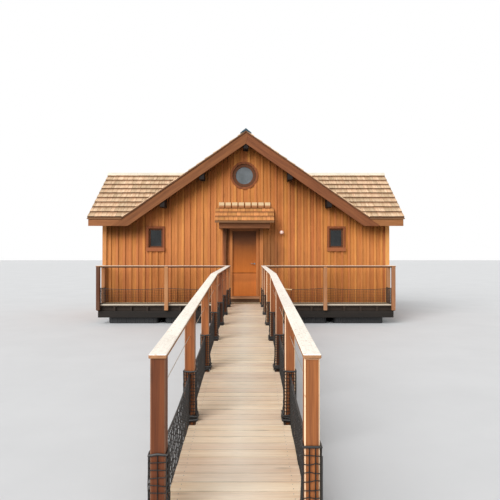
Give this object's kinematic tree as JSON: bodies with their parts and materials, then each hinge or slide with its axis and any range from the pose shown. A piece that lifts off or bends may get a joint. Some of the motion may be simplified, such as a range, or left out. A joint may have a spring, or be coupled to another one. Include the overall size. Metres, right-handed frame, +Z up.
{
  "type": "boathouse",
  "caption": "Floating timber boathouse with cross-gabled shingle roof, float platform, railed walkway and netted gangway sloping to the shore; its front door opens.",
  "frame": {"origin": "at the water line, under the front wall's outer face, on the gangway's centre line, on the underside of the float there", "axes": "+Y from the shore end of the gangway towards the cabin's rear, +Z up, +X to the right as seen from the gangway"},
  "size_m": [9.17, 16.413, 5.6221],
  "materials": {
    "float_plastic": "black moulded polyethylene",
    "beam_wood": "dark weathered timber",
    "joist_wood": "weathered timber with pale sawn ends",
    "deck_wood": "pale larch boards, ribbed and weathered",
    "post_wood": "planed red-brown timber",
    "handrail_wood": "pale planed board",
    "net_cord": "black knotted cord",
    "wire_steel": "stranded wire",
    "cladding_wood": "orange-brown vertical boards",
    "trim_wood": "planed trim boards",
    "floor_wood": "floor boards",
    "roof_wood": "rough boards and rafters",
    "shingle_wood": "split pale shingles",
    "ridge_metal": "folded dark sheet",
    "ridge_pale": "folded pale sheet",
    "barge_wood": "red-brown planed boards",
    "window_wood": "pinkish brown joinery",
    "pane_glass": "clear glass over a dark room",
    "sill_wood": "dark timber sill",
    "door_wood": "smooth orange-brown leaf",
    "door_metal": "brushed steel",
    "lamp_glass": "opal globe"
  },
  "bodies": {
    "boathouse": {"floats": "float_plastic", "cross_beams": "beam_wood", "joists": "joist_wood", "platform_deck": "deck_wood", "platform_posts": "post_wood", "platform_handrails": "handrail_wood", "platform_nets": "net_cord", "stringers": "beam_wood", "gangway_deck": "deck_wood", "ramp_deck": "deck_wood", "gangway_posts": "post_wood", "gangway_handrails": "handrail_wood", "gangway_nets": "net_cord", "gangway_wires": "wire_steel", "cabin_floor": "floor_wood", "front_wall_left": "cladding_wood", "front_wall_right": "cladding_wood", "front_gable": "cladding_wood", "rear_wall": "cladding_wood", "left_wall": "cladding_wood", "right_wall": "cladding_wood", "corner_boards": "trim_wood", "main_roof_left": "roof_wood", "main_roof_right": "roof_wood", "wing_roof_left": "roof_wood", "wing_roof_right": "roof_wood", "main_shingles_left": "shingle_wood", "main_shingles_right": "shingle_wood", "wing_shingles_left": "shingle_wood", "wing_shingles_right": "shingle_wood", "main_ridge_cap": "ridge_metal", "wing_ridge_caps": "ridge_pale", "bargeboards": "barge_wood", "fascias": "barge_wood", "purlins": "roof_wood", "window_frames": "window_wood", "window_panes": "pane_glass", "door_frame": "trim_wood", "threshold": "sill_wood", "frame_hinges": "door_metal", "canopy_shingles": "shingle_wood", "canopy_frame": "barge_wood", "wall_lamp": "lamp_glass"},
    "door": {"door_leaf": "door_wood", "door_hardware": "door_metal"}
  },
  "joints": [
    {"name": "door_hinge", "type": "hinge", "parent": "boathouse", "child": "door", "pos_m": [-0.4175, 0.209, 1.7225], "axis": [0, 0, 1], "range_deg": [0, 90]}
  ]
}
